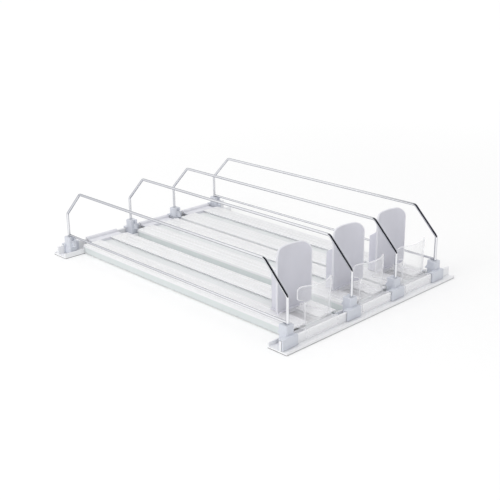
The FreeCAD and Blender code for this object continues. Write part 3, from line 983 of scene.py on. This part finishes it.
class AddStage(bpy.types.Operator):
    """Add the floor, the lamps, the surroundings and the camera"""
    bl_idname = "organizer.stage"
    bl_label = "Stage"

    def execute(self, context):
        look = context.scene.organizer_stage
        half, deep, clear = 9000, 20.0, 0.02
        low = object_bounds()[0].z / MM
        floor = block("studio_floor", (-half, -half, low - deep), (half, half, low - clear))
        floor.data.materials.append(self.floor_material(tuple(look.floor)))
        floor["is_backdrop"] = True
        self.add_lamp("overhead_lamp", look.overhead, 1.5, (-0.15, 0.1, 1.6), (0, 0, 0))
        self.add_lamp("left_lamp", look.key, 1.0, (-1.6, 0.15, 0.75), (0, 0, 0.03))
        context.scene.world = self.surroundings(look.sky)
        context.scene.view_settings.view_transform = "Standard"
        self.add_camera(context, look.lens)
        return {"FINISHED"}

    def floor_material(self, colour):
        """White to the camera, with the object's shadow kept."""
        material = bpy.data.materials.new("studio_floor")
        material.use_nodes = True
        tree = material.node_tree
        tree.nodes.clear()
        drift = noise(tree, (3, 3, 3), 2.0)
        tint = add_node(tree, "ShaderNodeMix", {"Factor": drift}, data_type="RGBA")
        tint.inputs[6].default_value = (*colour, 1.0)
        tint.inputs[7].default_value = (*(c * 0.99 for c in colour), 1.0)
        matt = add_node(tree, "ShaderNodeBsdfDiffuse", {"Color": tint.outputs[2]})
        glow = add_node(tree, "ShaderNodeEmission", {"Color": (1, 1, 1, 1), "Strength": 1.0})
        seen = rays(tree, "Camera", "Transmission", "Glossy")
        place = add_node(tree, "ShaderNodeTexCoord")
        away = add_node(tree, "ShaderNodeVectorMath", {0: place.outputs["Object"]},
                        operation="LENGTH")
        fill = add_node(tree, "ShaderNodeMapRange",
                        {"Value": away.outputs["Value"], "From Min": 0.2, "From Max": 1.8,
                         "To Min": 0.085, "To Max": 0.29}, interpolation_type="SMOOTHSTEP")
        share = add_node(tree, "ShaderNodeMath", {0: seen, 1: fill.outputs[0]},
                         operation="MULTIPLY")
        tree.links.new(share.outputs[0], glow.inputs["Strength"])
        mixed = add_node(tree, "ShaderNodeAddShader", {0: matt.outputs[0], 1: glow.outputs[0]})
        end = tree.nodes.new("ShaderNodeOutputMaterial")
        tree.links.new(mixed.outputs[0], end.inputs[0])
        return material

    def add_lamp(self, name, power, size, place, target):
        """A square soft lamp that points at a target."""
        light = bpy.data.lights.new(name, "AREA")
        light.energy = power
        light.size = size
        lamp = bpy.data.objects.new(name, light)
        lamp.location = place
        aim = Vector(target) - Vector(place)
        lamp.rotation_euler = aim.to_track_quat("-Z", "Y").to_euler()
        lamp.visible_glossy = False
        bpy.context.scene.collection.objects.link(lamp)

    def surroundings(self, strength):
        """White all round, with a dark part above the front left that bright metal reflects."""
        dark_side, dark_tint = (-0.45, -0.60, 0.66), (0.012, 0.012, 0.02)
        world = bpy.data.worlds.new("studio")
        world.use_nodes = True
        tree = world.node_tree
        tree.nodes.clear()
        place = add_node(tree, "ShaderNodeTexCoord")
        toward = add_node(tree, "ShaderNodeVectorMath",
                          {0: place.outputs["Generated"], 1: dark_side},
                          operation="DOT_PRODUCT")
        dark = add_node(tree, "ShaderNodeMapRange",
                        {"Value": toward.outputs["Value"], "From Min": 0.26, "From Max": 0.36,
                         "To Min": 0.0, "To Max": 1.0}, interpolation_type="SMOOTHSTEP")
        bright = rays(tree, "Camera", "Transmission", "Glossy")
        level = add_node(tree, "ShaderNodeMapRange",
                         {"Value": bright, "To Min": strength, "To Max": 1.0})
        hidden = add_node(tree, "ShaderNodeMath", {0: dark.outputs[0], 1: rays(tree, "Glossy")},
                          operation="MULTIPLY")
        tint = add_node(tree, "ShaderNodeMix", {"Factor": hidden.outputs[0]}, data_type="RGBA")
        tint.inputs[6].default_value = (1.0, 1.0, 1.0, 1.0)
        tint.inputs[7].default_value = (*dark_tint, 1.0)
        sky = add_node(tree, "ShaderNodeBackground",
                       {"Color": tint.outputs[2], "Strength": level.outputs[0]})
        end = tree.nodes.new("ShaderNodeOutputWorld")
        tree.links.new(sky.outputs[0], end.inputs[0])
        return world

    def add_camera(self, context, lens):
        """The camera, which looks down on the organizer from its front left corner."""
        data = bpy.data.cameras.new("camera")
        data.lens = lens
        data.sensor_width = 36.0
        camera = bpy.data.objects.new("camera", data)
        right = Vector((0.71794, -0.69601, -0.01152))
        up = Vector((0.24442, 0.23656, 0.94037))
        ahead = Vector((0.65179, 0.67794, -0.33995))
        place = Vector((-0.64373, -0.67685, 0.35646))
        turn = Matrix((right, up, -ahead)).transposed().to_4x4()
        camera.matrix_world = Matrix.Translation(place) @ turn
        context.scene.collection.objects.link(camera)
        context.scene.camera = camera


class OrganizerPanel(bpy.types.Panel):
    """Lists the organizer's pieces and their sizes"""
    bl_idname = "VIEW3D_PT_organizer"
    bl_label = "Can organizer"
    bl_space_type = "VIEW_3D"
    bl_region_type = "UI"
    bl_category = "Organizer"

    def draw(self, context):
        for step in STEPS:
            self.layout.operator(step.bl_idname)
        for name, group in SETTINGS.items():
            box = self.layout.box()
            for field in group.__annotations__:
                box.prop(getattr(context.scene, name), field)


STEPS = (AddRails, AddTracks, AddRearCaps, AddClips, AddHoops, AddStops, AddPushers,
         AddSprings, AddStage)


def register():
    """Registers the settings, the operators and the panel."""
    for group in (*SETTINGS.values(), *STEPS, OrganizerPanel):
        bpy.utils.register_class(group)
    for name, group in SETTINGS.items():
        setattr(bpy.types.Scene, name, bpy.props.PointerProperty(type=group))


def unregister():
    """Removes what register added."""
    for name in SETTINGS:
        delattr(bpy.types.Scene, name)
    for group in reversed((*SETTINGS.values(), *STEPS, OrganizerPanel)):
        bpy.utils.unregister_class(group)


def main():
    """Builds every piece in order."""
    register()
    for step in STEPS:
        family, name = step.bl_idname.split(".")
        getattr(getattr(bpy.ops, family), name)()


if __name__ == "__main__":
    main()
